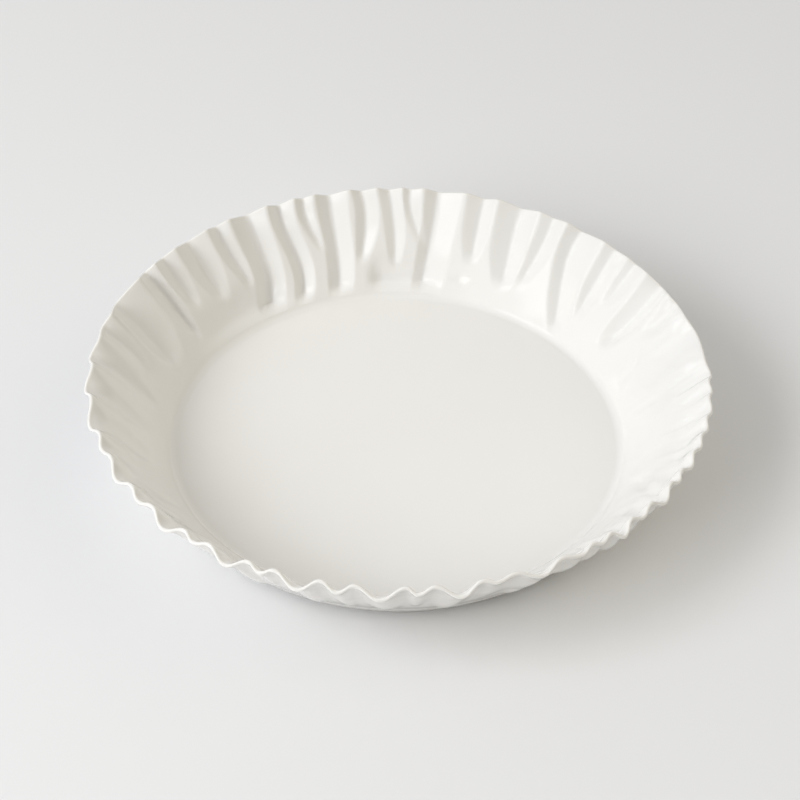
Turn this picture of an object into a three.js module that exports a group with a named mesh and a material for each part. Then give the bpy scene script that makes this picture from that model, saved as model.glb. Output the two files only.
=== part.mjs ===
// A fluted baking dish: a round floor slab on a bare foot ring, with a flared wall crimped into pleats.
// Millimetres, +Z up. The origin is the middle of the dish on the surface that it stands on.
// Angles are in degrees about +Z, counted from +X towards +Y.
import * as THREE from "three";
import { mergeVertices } from "three/addons/utils/BufferGeometryUtils.js";

// Driving dimensions
const floorRadius = 103.4; // flat floor inside, out to the corner where the wall would rise without its coil
const mouthRadius = 135.7; // inner face of the wall at the rim, between pleats
const innerDepth = 43.4; // rise of that inner face from floor to rim
const wallFlare = 0.2; // how far the wall's line is hollowed inwards between floor and rim
const rimThickness = 1.8;
const wallFootThickness = 4.8;
const pleatDepth = 4.6; // how far a pleat of share 1 is pushed out at the rim, square to the wall
const rimDrop = 0.25; // how much the rim comes down over a pleat, as a share of the pleat's own depth
const floorThickness = 5.4;
const floorEdgeRadius = 4; // rounding under the outer edge of the floor slab
const coilLeg = 2.8; // corner coil: from the corner along the floor, and along the wall
const coilSeat = 1.6; // how far the foot of the wall is pared back for the coil
const slipGap = 0.3; // film of slip between the coil and the wall
const footHeight = 2.4;
const footInset = 8; // from the edge of the flat underside in to the foot ring
const footWidth = 7;
const footEdgeRadius = 1.2;

// One row for each pleat, in order round the rim. The wall is folded in at ridge and pushed out at hollow.
// The three sways move the pleat sideways a third of the way down the wall, two thirds down and at its foot,
// depth is a share of pleatDepth, and low is the share of the wall's height at which the pleat has died out.
// ridge, hollow, third, twoThirds, foot, depth, low
const rimPleats = [
  [3.4, 1.2, 0.6, 1.5, 3, 0.5, 0.55],
  [16.6, 13.6, 0.3, 1.5, 3, 0.6, 0.5],
  [23.6, 21.8, 0.3, 1, 2, 0.5, 0.55],
  [31.6, 28.2, 0, 1, 3, 1.3, 0.2],
  [37.2, 35.3, 0.3, 1, 2, 0.55, 0.5],
  [43.6, 41.2, 0, -0.4, -2, 0.8, 0.26],
  [53, 50.2, -0.1, -2.6, -6, 1.1, 0.03],
  [59.3, 56.6, 0.3, 1.8, 3, 0.6, 0.28],
  [69, 64.2, -0.2, -0.9, -1.5, 1.2, 0.22],
  [75.9, 72.2, 0, 0, 0, 0.9, 0.36],
  [85, 82, 0.35, 1.3, 2.4, 1, 0],
  [89.5, 87.9, -1.4, -5, -7, 0.5, 0.46],
  [94.9, 92.2, -1, -1.2, 0, 0.8, 0.27],
  [100.7, 98.1, -0.35, 1.5, 4, 0.85, 0.3],
  [108.4, 104.9, 0.1, 0.2, 2, 1.15, 0],
  [112.7, 110.6, -0.7, -4, -6, 0.65, 0.45],
  [118.9, 115.7, -0.3, -1.4, 2.4, 1.1, 0],
  [128, 122.7, -0.1, 0.1, 3.6, 1.3, 0],
  [133.5, 130.4, -0.6, -2.4, -3, 0.8, 0.33],
  [142.3, 137.4, -0.4, -1, -1, 1, 0.36],
  [148.5, 145, -0.3, -1, -1, 0.7, 0.45],
  [154, 150.2, -0.7, -1.5, -2.5, 0.9, 0.22],
  [166, 161, -0.6, -1, -1, 1, 0.2],
  [173.5, 168.7, -0.3, -0.5, 0, 0.6, 0.4],
  [181.5, 177.5, -0.8, -1, -1, 0.8, 0.2],
  [190.6, 186.5, -0.5, -0.4, 0, 0.85, 0.3],
  [200.8, 196.5, -0.5, -0.4, 0, 0.9, 0.25],
  [207.5, 203.8, 0, 0, 0, 0.5, 0.5],
  [216, 211.8, -0.8, -1, -1, 0.85, 0.2],
  [222.5, 219, 0, 0, 0, 0.55, 0.4],
  [231, 226.6, 0.4, 0.5, 0.5, 1, 0.2],
  [236.4, 233.3, 0, 0, 0, 0.5, 0.45],
  [244.4, 240.5, 0.3, 0.7, 1, 1, 0.2],
  [249.2, 246.8, 0, 0, 0, 0.55, 0.4],
  [257.5, 253.6, 0.3, 0.7, 1, 1.1, 0.2],
  [263.2, 260.3, 0.3, 0.7, 1, 0.75, 0.25],
  [271.9, 267.5, 0.3, 0.7, 1, 1.05, 0.2],
  [276.7, 273.8, 0, 0, 0, 0.6, 0.4],
  [284.9, 281, -0.3, -0.7, -1, 1.05, 0.2],
  [290.6, 287.2, 0, 0, 0, 0.35, 0.4],
  [299.5, 295.3, -0.3, -0.7, -1, 0.85, 0.2],
  [305.9, 303.4, 0, 0, 0, 0.45, 0.4],
  [310, 307.8, 0, 0, 0, 0.35, 0.45],
  [315.3, 312.4, 0.5, 1.5, 3, 0.9, 0.2],
  [320.5, 317.7, 0.5, 1.5, 3, 0.5, 0.4],
  [327.3, 323.8, 1, 3, 5, 0.85, 0.25],
  [331.3, 329.3, 1, 3, 5, 0.45, 0.45],
  [337.3, 334.3, 1.5, 4.5, 8, 0.6, 0.2],
  [342.2, 339.8, 1.5, 4, 7, 0.4, 0.5],
  [347.3, 345, 1, 3, 5, 0.4, 0.3],
  [353.5, 350.4, 1, 3, 5, 0.45, 0.45],
  [357.7, 355.8, 0.5, 1.5, 3, 0.35, 0.55],
];
// Places where the wall is pushed out apart from its pleats: a dent low on the back wall, the broad foot of the pleat
// at its left, a faint dent at its right, the whole front half, the rim on the right, where the crimping is shallow,
// and a shoulder under the rim at the front right.
// middle, half widths ahead and behind, depth as a share of pleatDepth, shares of the height at its two ends
const broadPushes = [
  [94, 5.4, 20, 0.85, -0.3, 0.48],
  [126, 34, 12, 0.5, -0.2, 0.55],
  [73.5, 7, 7, 0.12, 0.07, 0.41],
  [275, 130, 130, 0.5, -0.05, 1.1],
  [4, 66, 54, 0.95, 0.05, 1.95],
  [322, 42, 50, 0.5, 0.5, 1],
];
const footFade = 0.11; // share of the wall's height over which a pleat that reaches the floor dies out
// A pleat that ends above the floor narrows over a share of the height, its span, to a share of its width, and dies
// out over its fade.
const tip = { span: 0.35, width: 0.6, fade: 0.15 };
const taperPower = 8; // how quickly a pleat loses depth below the rim
// The back was pinched hard, the front less and the two sides softly. The change from one to the next lies between
// two cosines of the angle from the middle of the back, or of the front across from it.
const backMiddle = 92;
const backCosines = [0, 0.4];
const frontCosines = [0.55, 0.85];
const frontCrispness = 0.4;
// The depth left is the share of its depth at the rim that a pleat would keep down at the floor. The rounding of
// a turn is 0 for a sharp edge and 0.5 for a soft wave.
const hardPinch = { depthLeft: 0.75, rounding: 0.18 };
const softPinch = { depthLeft: 0.14, rounding: 0.5 };

// Fineness
const wallColumns = 360;
const roundColumns = 96;
const wallRowCount = 5;
const arcSteps = 3;
const mergeTolerance = 1e-3;
const landingTolerance = 1e-6;

// Worked-out places
const floorTop = footHeight + floorThickness;

const glaze = new THREE.MeshStandardMaterial({ color: 0xf1eee7, roughness: 0.18, metalness: 0 });
const bareClay = new THREE.MeshStandardMaterial({ color: 0xd9cfbf, roughness: 0.85, metalness: 0 });

// The inner face of the wall between pleats, from the floor corner (share 0) to the rim (share 1):
// radius and height over the floor. The middle point of the curve is moved in twice as far as the curve.
const wallStart = new THREE.Vector2(floorRadius, 0);
const wallEnd = new THREE.Vector2(mouthRadius, innerDepth);
const chord = wallEnd.clone().sub(wallStart);
const outwards = new THREE.Vector2(chord.y, -chord.x).normalize();
const wallMiddle = wallStart.clone().lerp(wallEnd, 0.5).addScaledVector(outwards, -2 * wallFlare);
const wallLine = new THREE.QuadraticBezierCurve(wallStart, wallMiddle, wallEnd);

// Unit vectors up the wall, and square out of it.
function wallDirections(share) {
  const up = wallLine.getTangent(share);
  return { up, out: new THREE.Vector2(up.y, -up.x) };
}

// The wall is thickest at its foot and thins quickly above it.
function wallThickness(share) {
  return THREE.MathUtils.lerp(rimThickness, wallFootThickness, (1 - share) ** 2);
}

// The outer face meets the floor slab where it comes down to the slab's top.
function shareWhereOuterFaceLands() {
  let low = 0;
  let high = 1;
  while (high - low > landingTolerance) {
    const share = (low + high) / 2;
    const height = wallLine.getPoint(share).y + wallDirections(share).out.y * wallThickness(share);
    if (height < 0) low = share;
    else high = share;
  }
  return high;
}

const footShare = shareWhereOuterFaceLands();
const wallFootRadius =
  wallLine.getPoint(footShare).x + wallDirections(footShare).out.x * wallThickness(footShare);
const coilShare = coilLeg / chord.length();
const plainShare = Math.max(footShare, coilShare); // no pleat reaches below this

// The underside is flat out to the rounding of its edge, whose outer flank carries the wall's slope on down.
const flank = wallDirections(footShare).up;
const flankAngle = THREE.MathUtils.radToDeg(Math.atan2(flank.y, flank.x));
const bottomRadius = wallFootRadius - (floorThickness * flank.x) / flank.y;
const flatRadius = bottomRadius - floorEdgeRadius * Math.tan(THREE.MathUtils.degToRad(flankAngle / 2));

// The pleats

// A fold with flat flanks and round turns: 1 at the middle, 0 one width away on either side.
function fold(offset, widthAhead, widthBehind, rounding) {
  const reach = Math.min(Math.abs(offset) / (offset > 0 ? widthAhead : widthBehind), 1);
  let height = 1 - reach;
  if (reach < rounding) height = 1 - rounding / 2 - reach ** 2 / (2 * rounding);
  if (1 - reach < rounding) height = rounding / 2 + (1 - reach) ** 2 / (2 * rounding);
  return (height - rounding / 2) / (1 - rounding);
}

function angleBetween(a, b) {
  return THREE.MathUtils.euclideanModulo(a - b + 180, 360) - 180;
}

// 1 at the back, where the wall was pinched hard, less at the front, and 0 round the two sides.
function crispness(angle) {
  const facingBack = Math.cos(THREE.MathUtils.degToRad(angle - backMiddle));
  const back = THREE.MathUtils.smoothstep(facingBack, ...backCosines);
  const front = THREE.MathUtils.smoothstep(-facingBack, ...frontCosines);
  return Math.max(back, frontCrispness * front);
}

// Sideways move of a pleat: a cubic through 0 at the rim and the three values of its row.
function sway(share, third, twoThirds, foot) {
  const x = 3 * (1 - share);
  const upper = (third * x * (x - 2) * (x - 3)) / 2;
  const lower = (twoThirds * x * (x - 1) * (x - 3)) / 2;
  return upper - lower + (foot * x * (x - 1) * (x - 2)) / 6;
}

// How far the wall is pushed out, square to itself.
function pushedOut(angle, share) {
  if (share <= plainShare) return 0;
  const crisp = crispness(angle);
  const rounding = THREE.MathUtils.lerp(softPinch.rounding, hardPinch.rounding, crisp);
  const depthLeft = THREE.MathUtils.lerp(softPinch.depthLeft, hardPinch.depthLeft, crisp);
  const taper = THREE.MathUtils.lerp(depthLeft, 1, share ** taperPower);
  const fromFoot = THREE.MathUtils.smoothstep(share, plainShare, plainShare + footFade);
  let depth = 0;
  rimPleats.forEach(([ridge, hollow, third, twoThirds, foot, size, low], i) => {
    const lastRidge = rimPleats.at(i - 1)[0];
    const offset = angleBetween(angle, hollow + sway(share, third, twoThirds, foot));
    const overTip = low > 0 ? THREE.MathUtils.smoothstep(share, low, low + tip.span) : 1;
    const narrowing = THREE.MathUtils.lerp(tip.width, 1, overTip);
    const ahead = narrowing * (ridge - hollow);
    const behind = narrowing * angleBetween(hollow, lastRidge);
    const fade = low > 0 ? THREE.MathUtils.smoothstep(share, low, low + tip.fade) : fromFoot;
    depth += size * taper * fade * narrowing * fold(offset, ahead, behind, rounding);
  });
  for (const [middle, ahead, behind, size, low, high] of broadPushes) {
    const half = (high - low) / 2;
    const across = fold(angleBetween(angle, middle), ahead, behind, softPinch.rounding);
    depth += size * fromFoot * across * fold(share - low - half, half, half, softPinch.rounding);
  }
  return depth * pleatDepth;
}

// A point of the folded wall: share of the height, how deep in the wall's thickness (0 inside, 1 outside),
// and how far past the rim.
function wallPoint(angle, { share, through, pastRim }) {
  const { up, out } = wallDirections(share);
  const push = pushedOut(angle, share);
  const drop = rimDrop * push * share ** 2;
  return wallLine
    .getPoint(share)
    .addScaledVector(out, push + through * wallThickness(share))
    .addScaledVector(up, pastRim - drop);
}

// Solids

function turned(profile, columns) {
  const geometry = new THREE.LatheGeometry(profile, columns);
  geometry.deleteAttribute("normal");
  geometry.deleteAttribute("uv");
  return geometry.rotateX(Math.PI / 2);
}

// Part of a circle as points, both ends included.
function arc(centreX, centreY, radius, from, to) {
  const points = [];
  for (let i = 0; i <= arcSteps; i++) {
    const angle = THREE.MathUtils.degToRad(THREE.MathUtils.lerp(from, to, i / arcSteps));
    points.push(new THREE.Vector2(centreX + radius * Math.cos(angle), centreY + radius * Math.sin(angle)));
  }
  return points;
}

// Places on one face of the wall, from a share of the height up to just under the rim.
function wallFace(lowest, through) {
  const places = [];
  for (let i = 0; i <= wallRowCount; i++) {
    places.push({ share: THREE.MathUtils.lerp(lowest, 1, i / (wallRowCount + 1)), through, pastRim: 0 });
  }
  return places;
}

// The places round the wall's section: up the outside, over the rim, down the inside and back along the foot.
function wallSection() {
  const outside = wallFace(footShare, 1);
  const inside = wallFace(coilShare, 0).reverse();
  const roundedEdge = arc(0.5, 0, 0.5, 0, 180);
  const rim = roundedEdge.map(({ x, y }) => ({ share: 1, through: x, pastRim: y * rimThickness }));
  const paredFoot = { fixed: new THREE.Vector2(floorRadius + coilSeat, 0) };
  return [...outside, ...rim, ...inside, paredFoot, outside[0]];
}

// A plain ring of the wall's section is turned first, and then each point is moved to its place in the folds.
function flutedWall() {
  const places = wallSection();
  const geometry = turned(Array(places.length).fill(wallEnd), wallColumns);
  const position = geometry.attributes.position;
  for (let i = 0; i < position.count; i++) {
    const place = places[i % places.length];
    const column = Math.floor(i / places.length) % wallColumns;
    const turn = (360 * column) / wallColumns;
    const point = place.fixed ?? wallPoint(turn, place);
    const angle = THREE.MathUtils.degToRad(turn);
    position.setXYZ(i, point.x * Math.cos(angle), point.x * Math.sin(angle), floorTop + point.y);
  }
  return mergeVertices(geometry, mergeTolerance);
}

function floorDisc() {
  const profile = [
    new THREE.Vector2(0, footHeight),
    ...arc(flatRadius, footHeight + floorEdgeRadius, floorEdgeRadius, -90, flankAngle - 90),
    new THREE.Vector2(wallFootRadius, floorTop),
    new THREE.Vector2(0, floorTop),
  ];
  return mergeVertices(turned(profile, roundColumns), mergeTolerance);
}

function cornerCoil() {
  const top = wallLine.getPoint(coilShare);
  const onFloor = new THREE.Vector2(floorRadius - coilLeg, floorTop);
  const inCorner = new THREE.Vector2(floorRadius - slipGap, floorTop);
  const onWall = new THREE.Vector2(top.x - slipGap, floorTop + top.y);
  const cove = new THREE.QuadraticBezierCurve(onWall, inCorner, onFloor);
  const profile = [
    onFloor,
    new THREE.Vector2(floorRadius + coilSeat - slipGap, floorTop),
    ...cove.getPoints(arcSteps),
  ];
  return mergeVertices(turned(profile, roundColumns), mergeTolerance);
}

function footRing() {
  const outer = flatRadius - footInset;
  const inner = outer - footWidth;
  const profile = [
    ...arc(inner + footEdgeRadius, footEdgeRadius, footEdgeRadius, 180, 270),
    ...arc(outer - footEdgeRadius, footEdgeRadius, footEdgeRadius, 270, 360),
    new THREE.Vector2(outer, footHeight),
    new THREE.Vector2(inner, footHeight),
  ];
  profile.push(profile[0]);
  return mergeVertices(turned(profile, roundColumns), mergeTolerance);
}

function piece(name, geometry, material) {
  const mesh = new THREE.Mesh(geometry, material);
  mesh.name = name;
  return mesh;
}

const dish = new THREE.Group();
dish.add(
  piece("floor_disc", floorDisc(), glaze),
  piece("fluted_wall", flutedWall(), glaze),
  piece("corner_coil", cornerCoil(), glaze),
  piece("foot_ring", footRing(), bareClay),
);

export default dish;
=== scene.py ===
# %% [markdown]
# # A fluted baking dish
# The dish is a shallow round bowl of glazed stoneware: a flat floor on a low foot ring, and a flared wall
# that was crimped into pleats while the clay was soft. No two pleats are alike, and they die out at
# different heights, so the wall is the piece that needs the most work.
# The solid model gives the frame: every size below is in metres in that same frame, with +Z up and the
# origin under the middle of the dish, on the surface that it stands on.

# %% Load the frame
import math
from functools import lru_cache

import bmesh
import bpy
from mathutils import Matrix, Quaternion, Vector


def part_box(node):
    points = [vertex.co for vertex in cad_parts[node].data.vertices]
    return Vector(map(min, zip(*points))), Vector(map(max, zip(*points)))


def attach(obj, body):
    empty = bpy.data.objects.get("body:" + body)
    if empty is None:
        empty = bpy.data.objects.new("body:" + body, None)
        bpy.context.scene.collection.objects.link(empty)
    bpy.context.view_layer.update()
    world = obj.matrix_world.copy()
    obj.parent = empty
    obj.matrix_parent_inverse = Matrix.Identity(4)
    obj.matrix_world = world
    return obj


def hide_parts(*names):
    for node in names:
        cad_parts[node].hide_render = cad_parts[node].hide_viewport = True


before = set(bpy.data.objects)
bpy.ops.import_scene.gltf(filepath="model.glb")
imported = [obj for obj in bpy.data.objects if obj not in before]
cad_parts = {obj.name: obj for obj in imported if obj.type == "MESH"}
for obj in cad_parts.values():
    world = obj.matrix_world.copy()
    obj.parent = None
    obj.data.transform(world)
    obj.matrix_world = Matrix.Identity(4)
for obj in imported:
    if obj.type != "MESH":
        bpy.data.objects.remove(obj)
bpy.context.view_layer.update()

mm = 0.001
print("solids:", sorted(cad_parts))

# %% [markdown]
# ## Sizes
# The heights and the radii that the solids show are read from their boxes, so the visible pieces can't
# drift away from them. A box can't tell how thick a wall is or how a corner is rounded, so those sizes
# are written here.

# %% Sizes from the solids
foot_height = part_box("foot_ring")[1].z
foot_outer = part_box("foot_ring")[1].x
floor_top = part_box("floor_disc")[1].z
wall_foot_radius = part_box("floor_disc")[1].x
print(f"floor {floor_top / mm:.1f} mm up, {wall_foot_radius / mm:.1f} mm out to the foot of the wall")

# %% Sizes of walls and corners
floor_radius = 103.4 * mm
mouth_radius = 135.7 * mm
inner_depth = 43.4 * mm
wall_flare = 0.2 * mm
rim_thickness = 1.8 * mm
wall_foot_thickness = 4.8 * mm
pleat_depth = 4.6 * mm
rim_drop = 0.25
floor_edge_radius = 4 * mm
cove_leg = 2.8 * mm
foot_width = 7 * mm
foot_edge_radius = 1.2 * mm
print(f"wall {wall_foot_thickness / mm:.1f} mm thick at its foot, {rim_thickness / mm:.1f} mm at the rim")

# %% [markdown]
# ## The line of the wall
# Before it was crimped, the wall was a plain flared ring. Its inner face is a slightly hollow line from the
# floor's corner up to the rim. A share of 0 is the corner and a share of 1 is the rim, and every point of
# the wall is found by its share of the height, how deep it lies in the thickness, and its angle.

# %% The plain wall
wall_start = Vector((floor_radius, 0))
wall_end = Vector((mouth_radius, inner_depth))
chord = wall_end - wall_start
outwards = Vector((chord.y, -chord.x)).normalized()
wall_middle = (wall_start + wall_end) / 2 - 2 * wall_flare * outwards


def wall_line(share):
    rest = 1 - share
    return rest * rest * wall_start + 2 * rest * share * wall_middle + share * share * wall_end


def wall_directions(share):
    up = ((1 - share) * (wall_middle - wall_start) + share * (wall_end - wall_middle)).normalized()
    return up, Vector((up.y, -up.x))


def wall_thickness(share):
    return rim_thickness + (wall_foot_thickness - rim_thickness) * (1 - share) ** 2


def share_where_outer_face_lands():
    """The share at which the wall's outer face meets the top of the floor, found by halving."""
    halvings = 40
    low, high = 0.0, 1.0
    for _ in range(halvings):
        share = (low + high) / 2
        height = wall_line(share).y + wall_directions(share)[1].y * wall_thickness(share)
        low, high = (share, high) if height < 0 else (low, share)
    return high


foot_share = share_where_outer_face_lands()
cove_share = cove_leg / chord.length
plain_share = max(foot_share, cove_share)
print(f"wall rises {inner_depth / mm:.1f} mm and the pleats start {plain_share:.0%} of the way up")

# %% [markdown]
# ## The pleats
# A regular wave would look machine-made, so each pleat has its own row: where the wall is folded in
# (ridge) and pushed out (hollow), how far the fold wanders sideways on its way down, how deep it is, and
# how low it reaches. The rows were read from the dish itself, going round the rim. A second, short list
# holds the broad, shallow pushes that the whole hand left under the pleats, and a third the faint wrinkles
# on the right, which are no deeper than 0.7 mm. Angles are in degrees, a depth is a share of a full pleat.

# %% One row for each pleat
# ridge, hollow, sway a third of the way down, sway two thirds down, sway at the foot, depth, lowest share
rim_pleats = [
    (3.4, 1.2, 0.6, 1.5, 3, 0.5, 0.55),
    (16.6, 13.6, 0.3, 1.5, 3, 0.6, 0.5),
    (23.6, 21.8, 0.3, 1, 2, 0.5, 0.55),
    (31.6, 28.2, 0, 1, 3, 1.3, 0.2),
    (37.2, 35.3, 0.3, 1, 2, 0.55, 0.5),
    (43.6, 41.2, 0, -0.4, -2, 0.8, 0.26),
    (53, 50.2, -0.1, -2.6, -6, 1.1, 0.03),
    (59.3, 56.6, 0.3, 1.8, 3, 0.6, 0.28),
    (69, 64.2, -0.2, -0.9, -1.5, 1.2, 0.22),
    (75.9, 72.2, 0, 0, 0, 0.9, 0.36),
    (85, 82, 0.35, 1.3, 2.4, 1, 0),
    (89.5, 87.9, -1.4, -5, -7, 0.5, 0.46),
    (94.9, 92.2, -1, -1.2, 0, 0.8, 0.27),
    (100.7, 98.1, -0.35, 1.5, 4, 0.85, 0.3),
    (108.4, 104.9, 0.1, 0.2, 2, 1.15, 0),
    (112.7, 110.6, -0.7, -4, -6, 0.65, 0.45),
    (118.9, 115.7, -0.3, -1.4, 2.4, 1.1, 0),
    (128, 122.7, -0.1, 0.1, 3.6, 1.3, 0),
    (133.5, 130.4, -0.6, -2.4, -3, 0.8, 0.33),
    (142.3, 137.4, -0.4, -1, -1, 1, 0.36),
    (148.5, 145, -0.3, -1, -1, 0.7, 0.45),
    (154, 150.2, -0.7, -1.5, -2.5, 0.9, 0.22),
    (166, 161, -0.6, -1, -1, 1, 0.2),
    (173.5, 168.7, -0.3, -0.5, 0, 0.6, 0.4),
    (181.5, 177.5, -0.8, -1, -1, 0.8, 0.2),
    (190.6, 186.5, -0.5, -0.4, 0, 0.85, 0.3),
    (200.8, 196.5, -0.5, -0.4, 0, 0.9, 0.25),
    (207.5, 203.8, 0, 0, 0, 0.5, 0.5),
    (216, 211.8, -0.8, -1, -1, 0.85, 0.2),
    (222.5, 219, 0, 0, 0, 0.55, 0.4),
    (231, 226.6, 0.4, 0.5, 0.5, 1, 0.2),
    (236.4, 233.3, 0, 0, 0, 0.5, 0.45),
    (244.4, 240.5, 0.3, 0.7, 1, 1, 0.2),
    (249.2, 246.8, 0, 0, 0, 0.55, 0.4),
    (257.5, 253.6, 0.3, 0.7, 1, 1.1, 0.2),
    (263.2, 260.3, 0.3, 0.7, 1, 0.75, 0.25),
    (271.9, 267.5, 0.3, 0.7, 1, 1.05, 0.2),
    (276.7, 273.8, 0, 0, 0, 0.6, 0.4),
    (284.9, 281, -0.3, -0.7, -1, 1.05, 0.2),
    (290.6, 287.2, 0, 0, 0, 0.35, 0.4),
    (299.5, 295.3, -0.3, -0.7, -1, 0.85, 0.2),
    (305.9, 303.4, 0, 0, 0, 0.45, 0.4),
    (310, 307.8, 0, 0, 0, 0.35, 0.45),
    (315.3, 312.4, 0.5, 1.5, 3, 0.9, 0.2),
    (320.5, 317.7, 0.5, 1.5, 3, 0.5, 0.4),
    (327.3, 323.8, 1, 3, 5, 0.85, 0.25),
    (331.3, 329.3, 1, 3, 5, 0.45, 0.45),
    (337.3, 334.3, 1.5, 4.5, 8, 0.6, 0.2),
    (342.2, 339.8, 1.5, 4, 7, 0.4, 0.5),
    (347.3, 345, 1, 3, 5, 0.4, 0.3),
    (353.5, 350.4, 1, 3, 5, 0.45, 0.45),
    (357.7, 355.8, 0.5, 1.5, 3, 0.35, 0.55),
]
print(len(rim_pleats), "pleats round the rim")

# %% Broad pushes and fine wrinkles
# middle, half width ahead, half width behind, depth, shares of the height where it starts and ends
broad_pushes = [
    (94, 5.4, 20, 0.85, -0.3, 0.48),
    (126, 34, 12, 0.5, -0.2, 0.55),
    (73.5, 7, 7, 0.12, -0.03, 0.31),
    (275, 130, 130, 0.5, -0.05, 1.1),
    (4, 66, 54, 0.95, 0.05, 1.95),
    (322, 42, 50, 0.5, 0.5, 1),
]
# angle at the rim, angle at the foot, half width, depth, shares of the height where it starts and ends
fine_wrinkles = [
    (21.2, 20.5, 1.7, 0.13, 0.55, 1.2),
    (16.8, 17.5, 2.2, 0.11, 0.5, 1.15),
    (26, 13, 2, 0.1, 0.08, 0.55),
    (3.2, 5, 0.9, 0.11, 0.5, 1.2),
    (0.2, 2, 0.9, 0.11, 0.5, 1.2),
    (2, 5, 1.6, 0.07, 0.1, 0.6),
    (-9.8, -7, 1.3, 0.07, 0.35, 1),
    (-17.5, -13, 1.7, 0.08, 0.4, 1.1),
    (-37, -15.5, 3, 0.15, 0.08, 0.85),
]
print(len(broad_pushes), "broad pushes and", len(fine_wrinkles), "wrinkles")

# %% [markdown]
# ## How a pleat pushes the wall
# Soft clay that is pinched makes straight flanks with rounded turns. The fold below is a straight ramp
# whose two ends are eased by parabolas. Summing the folds of neighbouring pleats gives the wall's push at
# any angle and height, and the pleat's sideways sway makes it lean as it goes down. A pleat that ends above
# the floor narrows to a tip. The back of the dish was pinched hard: its folds have tight turns and run deep
# right down. Round the two sides they are soft and fade away below the rim, and the front lies in between.

# %% Shape of one fold


def fold(reach, rounding):
    """1 at the middle of a hollow, 0 at the ridge beside it (reach 1), with flat flanks and round turns."""
    reach = min(abs(reach), 1.0)
    if reach < rounding:
        height = 1 - rounding / 2 - reach ** 2 / (2 * rounding)
    elif reach > 1 - rounding:
        height = rounding / 2 + (1 - reach) ** 2 / (2 * rounding)
    else:
        height = 1 - reach
    return (height - rounding / 2) / (1 - rounding)


def angle_between(a, b):
    return (a - b + 180) % 360 - 180


def between(start, end, part):
    return start + (end - start) * part


def smooth_step(value, low, high):
    x = min(max((value - low) / (high - low), 0.0), 1.0)
    return x * x * (3 - 2 * x)


print(f"half-way between hollow and ridge a fold is {fold(0.5, 0.5):.2f} deep")

# %% Crisp back and soft sides
back_middle = 92
back_cosines, front_cosines = (0, 0.4), (0.55, 0.85)
front_crispness = 0.4


def crispness(angle):
    """1 at the back, where the wall was pinched hard, less at the front, and 0 round the two sides."""
    facing_back = math.cos(math.radians(angle - back_middle))
    back = smooth_step(facing_back, *back_cosines)
    front = smooth_step(-facing_back, *front_cosines)
    return max(back, front_crispness * front)


print(f"crispness: back {crispness(90):.1f}, front {crispness(270):.1f}, sides {crispness(0):.1f}")

# %% Pleats that reach an angle
widest_reach = 20


def sway(share, third, two_thirds, foot):
    """Sideways move of a pleat: a cubic through 0 at the rim and the three values of the row."""
    x = 3 * (1 - share)
    upper = third * x * (x - 2) * (x - 3) / 2
    lower = two_thirds * x * (x - 1) * (x - 3) / 2
    return upper - lower + foot * x * (x - 1) * (x - 2) / 6


@lru_cache(maxsize=None)
def pleats_near(angle):
    """The pleats that can touch an angle, each with the width of its flank on the far side."""
    rows = []
    for row, last in zip(rim_pleats, rim_pleats[-1:] + rim_pleats[:-1]):
        if abs(angle_between(angle, row[1])) < widest_reach:
            rows.append(row + (angle_between(row[1], last[0]),))
    return rows


print(len(pleats_near(90)), "pleats can touch the middle of the back")

# %% The push of the pleats
# A pleat keeps part of its depth below the rim, and its turns are tighter at the crisp back.
crisp_depth_left, soft_depth_left = 0.75, 0.14
crisp_rounding, soft_rounding = 0.18, 0.5
taper_power = 8
tip_width, tip_span, tip_fade = 0.6, 0.35, 0.15


def pleat_push(angle, share, from_foot):
    crisp = crispness(angle)
    rounding = between(soft_rounding, crisp_rounding, crisp)
    depth_left = between(soft_depth_left, crisp_depth_left, crisp)
    taper = between(depth_left, 1, share ** taper_power)
    depth = 0.0
    for ridge, hollow, third, two_thirds, foot, size, low, width_behind in pleats_near(angle):
        offset = angle_between(angle, hollow + sway(share, third, two_thirds, foot))
        narrowing = between(tip_width, 1, smooth_step(share, low, low + tip_span)) if low else 1
        width = narrowing * (ridge - hollow if offset > 0 else width_behind)
        if abs(offset) < width:
            fade = smooth_step(share, low, low + tip_fade) if low else from_foot
            depth += size * taper * fade * narrowing * fold(offset / width, rounding)
    return depth


deepest = max(pleat_push(angle, 1, 1) for angle in range(360))
print(f"deepest pleat at the rim: {deepest * pleat_depth / mm:.1f} mm")

# %% The push of the hand and the wrinkles


def along_height(share, low, high):
    """1 half-way between two shares of the height, 0 at both."""
    return fold((share - (low + high) / 2) / ((high - low) / 2), soft_rounding)


def broad_push(angle, share):
    depth = 0.0
    for middle, ahead, behind, size, low, high in broad_pushes:
        offset = angle_between(angle, middle)
        across = fold(offset / (ahead if offset > 0 else behind), soft_rounding)
        depth += size * across * along_height(share, low, high)
    return depth


def wrinkle_push(angle, share):
    depth = 0.0
    for at_rim, at_foot, half_width, size, low, high in fine_wrinkles:
        offset = angle_between(angle, between(at_foot, at_rim, share))
        depth += size * fold(offset / half_width, soft_rounding) * along_height(share, low, high)
    return depth


deepest = max(wrinkle_push(angle, 0.5) for angle in range(360))
print(f"deepest wrinkle half-way up: {deepest * pleat_depth / mm:.1f} mm")

# %% All that pushes the wall
foot_fade = 0.11


def pushed_out(angle, share):
    """How far the wall is pushed out, square to itself, as a share of a full pleat."""
    if share <= plain_share:
        return 0.0
    from_foot = smooth_step(share, plain_share, plain_share + foot_fade)
    by_hand = broad_push(angle, share) + wrinkle_push(angle, share)
    return pleat_push(angle, share, from_foot) + from_foot * by_hand


rim_pushes = [pushed_out(angle, 1) * pleat_depth / mm for angle in range(360)]
print(f"the rim is pushed out by {min(rim_pushes):.1f} to {max(rim_pushes):.1f} mm")

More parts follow.
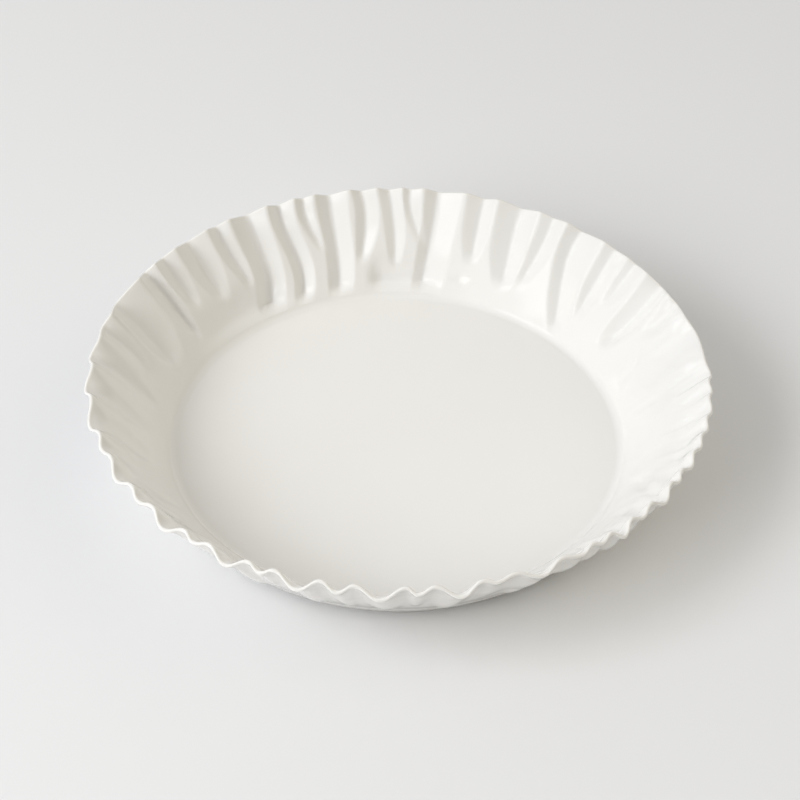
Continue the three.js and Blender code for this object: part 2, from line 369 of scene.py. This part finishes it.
# %% [markdown]
# ## The wall as a wrapped sheet
# The section goes up the outside, over a rounded rim, down the inside and back along the foot. A flat sheet
# with one row of vertices for each place of the section and one column for each step round the dish is
# wrapped into a ring, and its two pairs of edges are joined. Each vertex keeps its share of the height, its
# push and how softly the wall was pinched there, which later tell the glaze where the rim, the hollows and
# the streaks are.

# %% Section of the wall
face_rows = 26
rim_steps = 8
wall_columns = 1080


def wall_section():
    """Places round the section: share of the height, how deep in the thickness, how far past the rim."""
    outside = [foot_share + (1 - foot_share) * i / face_rows for i in range(face_rows)]
    inside = [1 - (1 - cove_share) * i / face_rows for i in range(1, face_rows + 1)]
    turns = [math.pi * i / rim_steps for i in range(rim_steps + 1)]
    rim = [(1.0, 0.5 + math.cos(t) / 2, math.sin(t) * rim_thickness / 2) for t in turns]
    foot = (0.0, 0.5, 0.0)
    return [(s, 1.0, 0.0) for s in outside] + rim + [(s, 0.0, 0.0) for s in inside] + [foot]


def wall_point(push, share, through, past_rim):
    up, out = wall_directions(share)
    drop = rim_drop * push * share ** 2
    return wall_line(share) + (push + through * wall_thickness(share)) * out + (past_rim - drop) * up


print(len(wall_section()), "places round the section of the wall")

# %% [markdown]
# ## From a bmesh to a piece
# Every piece is shaped in a bmesh, a mesh that Blender keeps open for editing. Spinning or wrapping it
# leaves double vertices along a seam, so they are merged first, and then the faces are turned to point
# outwards. Smooth shading hides the facets, and only edges that turn by 40 degrees or more stay sharp.

# %% Helpers for every piece
weld_distance = 1e-7
sharp_angle = math.radians(40)


def ring_of_edges(bm, points):
    verts = [bm.verts.new(p) for p in points]
    edges = [bm.edges.new((a, b)) for a, b in zip(verts, verts[1:] + verts[:1])]
    return verts, edges


def join_and_face_out(bm):
    bmesh.ops.remove_doubles(bm, verts=bm.verts, dist=weld_distance)
    bmesh.ops.recalc_face_normals(bm, faces=bm.faces)


def spin_round(bm, geometry, steps):
    bmesh.ops.spin(bm, geom=geometry, cent=(0, 0, 0), axis=(0, 0, 1), dvec=(0, 0, 0),
                   angle=2 * math.pi, steps=steps, use_merge=True, use_duplicate=False)
    join_and_face_out(bm)


def finish_piece(bm, name):
    for edge in bm.edges:
        edge.smooth = edge.calc_face_angle(0) < sharp_angle
    for face in bm.faces:
        face.smooth = True
    mesh = bpy.data.meshes.new(name)
    bm.to_mesh(mesh)
    bm.free()
    piece = bpy.data.objects.new(name, mesh)
    bpy.context.scene.collection.objects.link(piece)
    print(f"{name}: {len(mesh.vertices)} vertices, {len(mesh.polygons)} faces")
    return piece


# %% The fluted wall


def fluted_wall():
    bm = bmesh.new()
    share_of = bm.verts.layers.float.new("height_share")
    hollow_of = bm.verts.layers.float.new("hollow")
    soft_of = bm.verts.layers.float.new("softness")
    places = wall_section()
    foot_middle = Vector((floor_radius + wall_foot_thickness / 2, 0))
    bmesh.ops.create_grid(bm, x_segments=wall_columns, y_segments=len(places), size=0.5)
    for vert in bm.verts:
        column = round((vert.co.x + 0.5) * wall_columns) % wall_columns
        share, through, past_rim = places[round((vert.co.y + 0.5) * len(places)) % len(places)]
        angle = 360 * column / wall_columns
        push = pushed_out(angle, share)
        point = wall_point(pleat_depth * push, share, through, past_rim) if share else foot_middle
        turn = math.radians(angle)
        vert.co = (point.x * math.cos(turn), point.x * math.sin(turn), floor_top + point.y)
        vert[share_of] = share
        vert[hollow_of] = push
        vert[soft_of] = 1 - crispness(angle)
    join_and_face_out(bm)
    return finish_piece(bm, "fluted_wall_glazed")


wall = fluted_wall()

# %% [markdown]
# ## Floor, cove and foot
# These three are turned shapes: a few points of a section, spun round the middle. The rounded edges are
# bevels, as they would be sponged on the real clay. The cove is a little fillet in the corner, tangent to
# the floor and to the wall, so that no line shows where the pieces meet.

# %% The floor slab
round_columns = 256


def edge_loop_at(bm, radius, height):
    """The edges of a spun piece that lie on one circle."""
    near = 0.01 * mm
    on = {v for v in bm.verts if abs(v.co.xy.length - radius) < near and abs(v.co.z - height) < near}
    return [e for e in bm.edges if e.verts[0] in on and e.verts[1] in on]


def glazed_floor():
    flank = wall_directions(foot_share)[0]
    bottom_radius = wall_foot_radius - (floor_top - foot_height) * flank.x / flank.y
    turn = math.atan2(flank.y, flank.x)
    bm = bmesh.new()
    rings = 12
    top = [(floor_radius * i / rings, 0, floor_top) for i in range(rings, -1, -1)]
    underside = [(0, 0, foot_height), (bottom_radius, 0, foot_height)]
    section = underside + [(wall_foot_radius, 0, floor_top)] + top
    verts = [bm.verts.new(p) for p in section]
    edges = [bm.edges.new(pair) for pair in zip(verts, verts[1:])]
    spin_round(bm, verts + edges, round_columns)
    bmesh.ops.bevel(bm, geom=edge_loop_at(bm, bottom_radius, foot_height), affect="EDGES", segments=5,
                    offset=floor_edge_radius * math.tan(turn / 2), profile=0.5, material=-1)
    return finish_piece(bm, "glazed_floor")


floor_piece = glazed_floor()

# %% The cove in the corner


def corner_cove():
    bm = bmesh.new()
    steps = 10
    top = wall_line(cove_share)
    on_floor = Vector((floor_radius - cove_leg, 0))
    corner = Vector((floor_radius, 0))
    curve = []
    for i in range(steps + 1):
        t = i / steps
        curve.append((1 - t) ** 2 * on_floor + 2 * t * (1 - t) * corner + t * t * top)
    section = [(p.x, 0, floor_top + p.y) for p in curve] + [(corner.x, 0, floor_top)]
    verts, edges = ring_of_edges(bm, section)
    spin_round(bm, verts + edges, round_columns)
    return finish_piece(bm, "corner_cove")


cove = corner_cove()

# %% The foot ring


def foot_ring():
    bm = bmesh.new()
    inner = foot_outer - foot_width
    section = [(inner, 0, 0), (foot_outer, 0, 0), (foot_outer, 0, foot_height), (inner, 0, foot_height)]
    verts, edges = ring_of_edges(bm, section)
    spin_round(bm, verts + edges, round_columns)
    for radius in (inner, foot_outer):
        bmesh.ops.bevel(bm, geom=edge_loop_at(bm, radius, 0), affect="EDGES", segments=4,
                        offset=foot_edge_radius, profile=0.5, material=-1)
    return finish_piece(bm, "bare_foot_ring")


foot = foot_ring()

# %% [markdown]
# ## Glaze and bare clay
# The glaze is a warm white gloss. It is a touch creamier where it runs thin over the rim, and a touch
# whiter where it pooled in the hollows, and its surface is never quite flat. Where the wall was pinched
# softly, fingers left faint upright streaks below the rim. The foot ring was wiped clean before firing, so
# it shows the buff clay with a fine gritty grain. Noise on the Object coordinates gives both their
# unevenness, and a node group holds it, because two finishes use it with different scales.

# %% Unevenness that both finishes use


def new_group(name, given, results):
    """An empty node group with its named inputs and outputs, all plain values."""
    group = bpy.data.node_groups.new(name, "ShaderNodeTree")
    for socket in given:
        group.interface.new_socket(socket, in_out="INPUT", socket_type="NodeSocketFloat")
    for socket in results:
        group.interface.new_socket(socket, in_out="OUTPUT", socket_type="NodeSocketFloat")
    return group, group.nodes.new("NodeGroupInput"), group.nodes.new("NodeGroupOutput")


def fired_unevenness():
    group, start, end = new_group("fired_unevenness", ("Broad scale", "Fine scale"), ("Cloud", "Grain"))
    nodes, links = group.nodes, group.links
    place = nodes.new("ShaderNodeTexCoord")
    for scale, result in (("Broad scale", "Cloud"), ("Fine scale", "Grain")):
        texture = nodes.new("ShaderNodeTexNoise")
        texture.inputs["Detail"].default_value = 2
        links.new(place.outputs["Object"], texture.inputs["Vector"])
        links.new(start.outputs[scale], texture.inputs["Scale"])
        links.new(texture.outputs["Fac"], end.inputs[result])
    return group


unevenness = fired_unevenness()
print(f"{unevenness.name}: {len(unevenness.nodes)} nodes")

# %% Streaks that the crimping left


def crimped_streaks():
    """Noise that follows the wall: one scale goes round the dish, the other up it."""
    group, start, end = new_group("crimped_streaks", ("Round scale", "Height scale"), ("Streak",))
    nodes, links = group.nodes, group.links
    place = nodes.new("ShaderNodeTexCoord")

    def vector_step(operation, first, second=None):
        step = nodes.new("ShaderNodeVectorMath")
        step.operation = operation
        links.new(first, step.inputs[0])
        if second is not None:
            links.new(second, step.inputs["Scale" if operation == "SCALE" else 1])
        return step

    level = vector_step("MULTIPLY", place.outputs["Object"])
    level.inputs[1].default_value = (1, 1, 0)
    upright = vector_step("MULTIPLY", place.outputs["Object"])
    upright.inputs[1].default_value = (0, 0, 1)
    outward = vector_step("NORMALIZE", level.outputs["Vector"])
    around = vector_step("SCALE", outward.outputs["Vector"], start.outputs["Round scale"])
    along = vector_step("SCALE", upright.outputs["Vector"], start.outputs["Height scale"])
    texture = nodes.new("ShaderNodeTexNoise")
    texture.inputs["Scale"].default_value = 1
    texture.inputs["Detail"].default_value = 0
    both = vector_step("ADD", around.outputs["Vector"], along.outputs["Vector"])
    links.new(both.outputs["Vector"], texture.inputs["Vector"])
    links.new(texture.outputs["Fac"], end.inputs["Streak"])
    return group


streaks = crimped_streaks()
print(f"{streaks.name}: {len(streaks.nodes)} nodes")

# %% Steps that both finishes use
noise_range = (0.3, 0.7)


def new_finish(name):
    material = bpy.data.materials.new(name)
    material.use_nodes = True
    nodes, links = material.node_tree.nodes, material.node_tree.links
    return material, nodes, links, nodes["Principled BSDF"]


def placed_group(nodes, group, values):
    node = nodes.new("ShaderNodeGroup")
    node.node_tree = group
    for name, value in values.items():
        node.inputs[name].default_value = value
    return node.outputs


def mix_colour(nodes, links, factor, first, second):
    """A mix by a socket, of two colours that are each a socket or a plain value."""
    mix = nodes.new("ShaderNodeMix")
    mix.data_type = "RGBA"
    links.new(factor, mix.inputs[0])
    for slot, value in ((mix.inputs[6], first), (mix.inputs[7], second)):
        if isinstance(value, bpy.types.NodeSocket):
            links.new(value, slot)
        else:
            slot.default_value = value
    return mix.outputs[2]


def ramp(nodes, links, value, given, result):
    """Turns one range of values into another and stays at its ends outside it."""
    node = nodes.new("ShaderNodeMapRange")
    links.new(value, node.inputs["Value"])
    for name, number in zip(("From Min", "From Max", "To Min", "To Max"), given + result):
        node.inputs[name].default_value = number
    return node.outputs["Result"]


# %% Colour of the glaze
glaze_body = (0.865, 0.848, 0.808, 1)
glaze_pooled = (0.88, 0.87, 0.84, 1)
glaze_thin = (0.872, 0.85, 0.80, 1)


def wall_value(nodes, name):
    """A value that each vertex of the wall keeps, which is 0 on the other pieces."""
    node = nodes.new("ShaderNodeAttribute")
    node.attribute_name = name
    return node.outputs["Fac"]


def glaze_colour(nodes, links, cloud, share):
    patches = ramp(nodes, links, cloud, noise_range, (0, 0.35))
    colour = mix_colour(nodes, links, patches, glaze_body, glaze_pooled)
    pool = ramp(nodes, links, wall_value(nodes, "hollow"), (0.3, 1.1), (0, 0.6))
    colour = mix_colour(nodes, links, pool, colour, glaze_pooled)
    rim = ramp(nodes, links, share, (0.965, 1), (0, 0.5))
    return mix_colour(nodes, links, rim, colour, glaze_thin)


# %% Relief of the glaze


def streak_relief(nodes, links, share):
    """Upright streaks where the wall is soft, which fade towards the floor."""
    crimp = placed_group(nodes, streaks, {"Round scale": 10, "Height scale": 45})
    strength = nodes.new("ShaderNodeMath")
    strength.operation = "MULTIPLY"
    soft = ramp(nodes, links, wall_value(nodes, "softness"), (0.2, 0.8), (0, 0.4))
    links.new(soft, strength.inputs[0])
    links.new(ramp(nodes, links, share, (0.15, 0.5), (0, 1)), strength.inputs[1])
    relief = nodes.new("ShaderNodeBump")
    relief.inputs["Distance"].default_value = 3 * mm
    links.new(strength.outputs["Value"], relief.inputs["Strength"])
    links.new(crimp["Streak"], relief.inputs["Height"])
    return relief.outputs["Normal"]


def glaze_relief(nodes, links, grain, share):
    """The glaze's own unevenness on top of the streaks, almost none of it on the flat floor."""
    relief = nodes.new("ShaderNodeBump")
    relief.inputs["Distance"].default_value = 1.2 * mm
    links.new(ramp(nodes, links, share, (0.02, 0.2), (0.05, 0.25)), relief.inputs["Strength"])
    links.new(grain, relief.inputs["Height"])
    links.new(streak_relief(nodes, links, share), relief.inputs["Normal"])
    return relief.outputs["Normal"]


# %% White glaze


def white_glaze():
    material, nodes, links, shader = new_finish("white_glaze")
    skin = placed_group(nodes, unevenness, {"Broad scale": 22, "Fine scale": 60})
    share = wall_value(nodes, "height_share")
    gloss = ramp(nodes, links, skin["Cloud"], noise_range, (0.08, 0.13))
    links.new(glaze_colour(nodes, links, skin["Cloud"], share), shader.inputs["Base Color"])
    links.new(gloss, shader.inputs["Roughness"])
    links.new(glaze_relief(nodes, links, skin["Grain"], share), shader.inputs["Normal"])
    shader.inputs["IOR"].default_value = 1.5
    return material


glaze = white_glaze()
print(f"{glaze.name}: {len(glaze.node_tree.nodes)} nodes")

# %% Bare clay
clay_buff = (0.66, 0.57, 0.45, 1)
clay_pale = (0.76, 0.69, 0.58, 1)


def bare_clay():
    material, nodes, links, shader = new_finish("bare_clay")
    skin = placed_group(nodes, unevenness, {"Broad scale": 60, "Fine scale": 900})
    patches = ramp(nodes, links, skin["Cloud"], noise_range, (0, 1))
    dryness = ramp(nodes, links, skin["Grain"], noise_range, (0.75, 0.95))
    grit = nodes.new("ShaderNodeBump")
    grit.inputs["Strength"].default_value = 0.5
    grit.inputs["Distance"].default_value = 0.25 * mm
    links.new(skin["Grain"], grit.inputs["Height"])
    links.new(mix_colour(nodes, links, patches, clay_buff, clay_pale), shader.inputs["Base Color"])
    links.new(dryness, shader.inputs["Roughness"])
    links.new(grit.outputs["Normal"], shader.inputs["Normal"])
    return material


clay = bare_clay()
print(f"{clay.name}: {len(clay.node_tree.nodes)} nodes")

# %% [markdown]
# ## Putting the pieces on the frame
# Every piece rides on the one body of the dish, gets its finish, and hides the solid that it covers.

# %% Pieces on the frame
dressing = (
    (floor_piece, "floor_disc", glaze, "white_glaze"),
    (wall, "fluted_wall", glaze, "white_glaze"),
    (cove, "corner_coil", glaze, "white_glaze"),
    (foot, "foot_ring", clay, "bare_clay"),
)
for piece, node, material, slot_name in dressing:
    piece.data.materials.append(material)
    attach(piece, "root")
    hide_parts(node)
print(len(dressing), "pieces on the frame")

# %% [markdown]
# ## Camera
# The picture was taken from a little over 40 degrees up, with a long lens from about a metre away, and the
# camera was turned by less than a degree. The aim point lies a little behind the middle of the dish.

# %% Camera
camera_elevation = math.radians(42.315)
camera_distance = 910 * mm
camera_roll = math.radians(0.748)
aim = Vector((1.23 * mm, 25.33 * mm, floor_top))

camera_data = bpy.data.cameras.new("camera")
camera_data.sensor_width = 36
camera_data.lens = 88.5
camera = bpy.data.objects.new("camera", camera_data)
back, height = math.cos(camera_elevation), math.sin(camera_elevation)
camera.location = Vector((0, -back * camera_distance, floor_top + height * camera_distance))
camera.rotation_mode = "QUATERNION"
facing = (aim - camera.location).to_track_quat("-Z", "Y")
camera.rotation_quaternion = facing @ Quaternion((0, 0, 1), camera_roll)
bpy.context.scene.collection.objects.link(camera)
bpy.context.scene.camera = camera
print(f"camera {camera_distance:.2f} m from the dish")

# %% [markdown]
# ## Floor and light
# The dish stands on a pale sheet in soft light. The room glows all round: each of its rows is a broad patch
# of light, with the place where it lies, how tight it is, and its colour times its strength. The warm patch
# on the right fills the shaded flanks of the pleats. Large lamps at the left light the other flanks. Glaze
# is a mirror, and the whole picture of such a lamp in it would hide the pleats, so only a part of the cool
# lamp is mirrored, which draws thin highlights along the folds. A small lamp gives the round glint on the
# back wall, and two low ones behind the dish draw the faint wrinkles on the right.

# %% White floor
paper_radius = 6
paper_colour = (0.82, 0.82, 0.82, 1)


def studio_floor():
    bm = bmesh.new()
    bmesh.ops.create_circle(bm, cap_ends=True, segments=64, radius=paper_radius)
    mesh = bpy.data.meshes.new("studio_floor")
    bm.to_mesh(mesh)
    bm.free()
    material, _, _, shader = new_finish("studio_paper")
    shader.inputs["Base Color"].default_value = paper_colour
    shader.inputs["Roughness"].default_value = 0.9
    mesh.materials.append(material)
    paper = bpy.data.objects.new("studio_floor", mesh)
    bpy.context.scene.collection.objects.link(paper)


studio_floor()
print(f"sheet {2 * paper_radius} m wide under the dish")

# %% Light of the room
# azimuth, elevation, tightness, colour times strength
room_lights = (
    (0, 40, 4, (1.25, 1.19, 1.06)),
    (90, 15, 4, (0.77, 0.77, 0.78)),
    (180, 50, 4, (0.79, 0.80, 0.82)),
    (240, 35, 40, (0.77, 0.77, 0.77)),
)


def direction(azimuth, elevation):
    a, e = math.radians(azimuth), math.radians(elevation)
    return Vector((math.cos(a) * math.cos(e), math.sin(a) * math.cos(e), math.sin(e)))


def soft_room():
    world = bpy.data.worlds.new("soft_room")
    world.use_nodes = True
    nodes, links = world.node_tree.nodes, world.node_tree.links
    look = nodes.new("ShaderNodeTexCoord")
    total = nodes["Background"].inputs["Color"]
    for azimuth, elevation, tightness, colour in room_lights:
        facing = nodes.new("ShaderNodeVectorMath")
        facing.operation = "DOT_PRODUCT"
        links.new(look.outputs["Generated"], facing.inputs[0])
        facing.inputs[1].default_value = direction(azimuth, elevation)
        ahead = nodes.new("ShaderNodeMath")
        ahead.operation = "MAXIMUM"
        links.new(facing.outputs["Value"], ahead.inputs[0])
        ahead.inputs[1].default_value = 0
        patch = nodes.new("ShaderNodeMath")
        patch.operation = "POWER"
        links.new(ahead.outputs[0], patch.inputs[0])
        patch.inputs[1].default_value = tightness
        add = nodes.new("ShaderNodeVectorMath")
        add.operation = "MULTIPLY_ADD"
        links.new(patch.outputs[0], add.inputs[0])
        add.inputs[1].default_value = colour
        add.inputs[2].default_value = (0, 0, 0)
        links.new(add.outputs["Vector"], total)
        total = add.inputs[2]
    bpy.context.scene.world = world


soft_room()
print(len(room_lights), "patches of soft light")

# %% Lamps
# azimuth, elevation, distance, width, power, colour, whether the glaze mirrors it
lamps = (
    (200, 40, 2.5, 1.2, 16.4, (0.97, 1, 1.07), False),
    (200, 40, 2.4, 1.1, 4.2, (0.97, 1, 1.07), True),
    (225, 28, 2.5, 1.2, 22.6, (1, 1, 1), False),
    (236.5, 24, 2.0, 0.26, 0.6, (1, 1, 1), True),
    (150, 10, 2.5, 0.4, 0.6, (0.97, 1, 1.05), True),
    (137, 7, 2.5, 0.3, 0.3, (0.97, 1, 1.05), True),
)


def disc_lamp(azimuth, elevation, distance, width, power, colour, mirrored):
    data = bpy.data.lights.new("disc_lamp", "AREA")
    data.shape = "DISK"
    data.size = width
    data.energy = power
    data.color = colour
    lamp = bpy.data.objects.new("disc_lamp", data)
    lamp.location = distance * direction(azimuth, elevation)
    lamp.rotation_euler = (-lamp.location).to_track_quat("-Z", "Y").to_euler()
    lamp.visible_glossy = mirrored
    lamp.visible_camera = False
    bpy.context.scene.collection.objects.link(lamp)


for lamp in lamps:
    disc_lamp(*lamp)
bpy.context.scene.view_settings.view_transform = "Standard"
print(len(lamps), "lamps")

# %% End of the scene
print("scene built")
